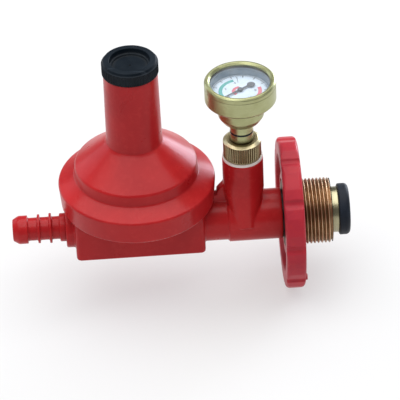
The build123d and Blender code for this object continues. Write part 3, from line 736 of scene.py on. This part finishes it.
def needle_part():
    """Tapered needle with a ridge, a round counterweight and a domed hub."""
    low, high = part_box("pointer")
    level = (low.z + high.z) / 2 / MM - 0.1
    along = math.radians(SCALE_START)
    # place along the needle and half width, from the tip back to the counterweight
    stations = [(NEEDLE_TIP, 0.06), (8.2, 0.2), (2.0, 0.42), (-2.0, NEEDLE_HALF), (-4.1, NEEDLE_HALF)]
    for k in range(1, 12):
        turn = math.pi * k / 12
        least = NEEDLE_HALF if k == 1 else 0.0
        stations.append((WEIGHT_AT + WEIGHT_R * math.cos(turn), max(least, WEIGHT_R * math.sin(turn))))
    stations.append((WEIGHT_AT - WEIGHT_R + 0.01, 0.05))
    points, faces = [], []
    for reach, half in stations:
        for side, rise in ((-half, -0.12), (half, -0.12), (half, 0.05), (0.0, 0.14), (-half, 0.05)):
            x = reach * math.cos(along) - side * math.sin(along)
            y = reach * math.sin(along) + side * math.cos(along)
            points.append((GAUGE.x + x * MM, y * MM, (level + rise) * MM))
    for k in range(len(stations) - 1):
        for i in range(5):
            j = (i + 1) % 5
            faces.append((5 * k + i, 5 * k + j, 5 * k + 5 + j, 5 * k + 5 + i))
    last = 5 * (len(stations) - 1)
    faces += [(0, 1, 2, 3, 4), tuple(last + i for i in (4, 3, 2, 1, 0))]
    hub = rounded([(0.02, level - 0.15, 0), (HUB_R, level - 0.15, 0), (HUB_R, level + 0.45, 0.2),
                   (0.02, level + 0.5, 0)])
    return joined((points, faces), revolved(hub, GAUGE_AXIS, 48))


piece("needle", needle_part(), NEEDLE_PAINT, "pointer", ("pointer",))


# ---- CAD pieces that keep their shape --------------------------------------

KEPT = {
    "bonnet": RED, "inlet_nipple": NIPPLE_BRASS, "nose_seal": RUBBER, "thrust_washer": BLACKED,
    "inlet_filter": SINTER, "nipple_oring": RUBBER, "seat_nozzle": NIPPLE_BRASS,
    "diaphragm": CLOTH_RUBBER, "diaphragm_plate": STEEL, "diaphragm_washer": STEEL,
    "diaphragm_stem": TOWER_BRASS, "stem_nut": STEEL, "lever": STEEL, "lever_pin": STEEL,
    "valve_holder": NIPPLE_BRASS, "valve_pad": RUBBER, "main_spring": SPRING,
    "spring_seat": CAP_PLASTIC, "gauge_washer": WASHER, "gauge_oring": RUBBER,
    "gauge_stem": GAUGE_BRASS, "neck_ring": RUBBER, "gauge_case": GAUGE_BRASS,
    "bezel_ring": GAUGE_BRASS, "gauge_lens": LENS, "dial_spacer": SPACER_PLASTIC, "dial": CARD,
    "movement_plate": GAUGE_BRASS, "bourdon_tube": GAUGE_BRASS, "pointer_spindle": STEEL,
}
for node, material in KEPT.items():
    kept = NODES[node]
    if not kept.material_slots:
        kept.data.materials.append(material)
    for slot in kept.material_slots:
        slot.link = "OBJECT"
        slot.material = material


# ---- floor, light and camera -----------------------------------------------

FLOOR_HALF = 4.0          # metres


def floor_sheet():
    """A wide pale sheet just under the object."""
    level = CAD_LOW.z - 0.0003
    points = [(x * FLOOR_HALF, y * FLOOR_HALF, level) for x, y in ((-1, -1), (1, -1), (1, 1), (-1, 1))]
    mesh = bpy.data.meshes.new("floor")
    mesh.from_pydata(points, [], [(0, 1, 2, 3)])
    n = Nodes("floor_paper")
    n.set(Emission_Color=(1.0, 1.0, 1.0, 1.0), Emission_Strength=0.5)
    mesh.materials.append(n.finish((0.34, 0.34, 0.34, 1.0), 0.9, n.bump(n.noise(300), 0.0001, 0.05)))
    sheet = bpy.data.objects.new("floor", mesh)
    bpy.context.scene.collection.objects.link(sheet)


def softbox(name, place, target, width, height, watts, colour=(1, 1, 1)):
    """A rectangular area light, aimed at the target."""
    light = bpy.data.lights.new(name, "AREA")
    light.shape = "RECTANGLE"
    light.size = width
    light.size_y = height
    light.energy = watts
    light.color = colour
    lamp = bpy.data.objects.new(name, light)
    lamp.location = place
    aim = Vector(target) - Vector(place)
    lamp.rotation_euler = aim.to_track_quat("-Z", "Y").to_euler()
    bpy.context.scene.collection.objects.link(lamp)


def studio():
    """A broad overhead light, two small cool ones behind, and a dim world."""
    target = (TOWER.x + 0.02, 0, 0.02)
    softbox("overhead", (-0.1, 0.1, 1.1), target, 2.0, 1.6, 27)
    softbox("left_side", (-0.85, 0.6, 0.3), target, 0.5, 0.6, 1.5, (0.80, 0.87, 1.0))
    softbox("right_side", (0.65, 0.85, 0.2), target, 0.5, 0.4, 7, (0.80, 0.87, 1.0))
    world = bpy.data.worlds.new("studio")
    world.use_nodes = True
    world.node_tree.nodes["Background"].inputs["Color"].default_value = (0.92, 0.95, 1.0, 1.0)
    world.node_tree.nodes["Background"].inputs["Strength"].default_value = 0.22
    bpy.context.scene.world = world
    bpy.context.scene.view_settings.view_transform = "Standard"


ELEVATION = 36.4          # degrees that the camera looks down
AZIMUTH = 2.0             # and turns off the XZ plane's normal
ROLL = 2.6
DISTANCE = 1.15           # from the middle of the housing's rim
SENSOR = 36.0
FOCAL = 254.3
RIM_HEIGHT = 0.0226
FRAME_RIGHT = -0.0258     # the rim's middle lies this far right of the picture's centre
FRAME_UP = 0.0091         # and this far above it


def camera():
    """Looks down on the regulator through a long lens."""
    az, el, roll = (math.radians(a) for a in (AZIMUTH, ELEVATION, ROLL))
    ahead = Vector((math.sin(az) * math.cos(el), math.cos(az) * math.cos(el), -math.sin(el)))
    level = Vector((math.cos(az), -math.sin(az), 0))
    upward = level.cross(ahead)
    right = math.cos(roll) * level - math.sin(roll) * upward
    up = math.sin(roll) * level + math.cos(roll) * upward
    rim = Vector((TOWER.x, 0, RIM_HEIGHT))
    place = rim - FRAME_RIGHT * right - FRAME_UP * up - DISTANCE * ahead
    lens = bpy.data.cameras.new("camera")
    lens.sensor_width = SENSOR
    lens.lens = FOCAL
    lens.clip_end = 20
    eye = bpy.data.objects.new("camera", lens)
    turn = Matrix((right, up, -ahead)).transposed().to_4x4()
    eye.matrix_world = Matrix.Translation(place) @ turn
    bpy.context.scene.collection.objects.link(eye)
    bpy.context.scene.camera = eye


floor_sheet()
studio()
camera()
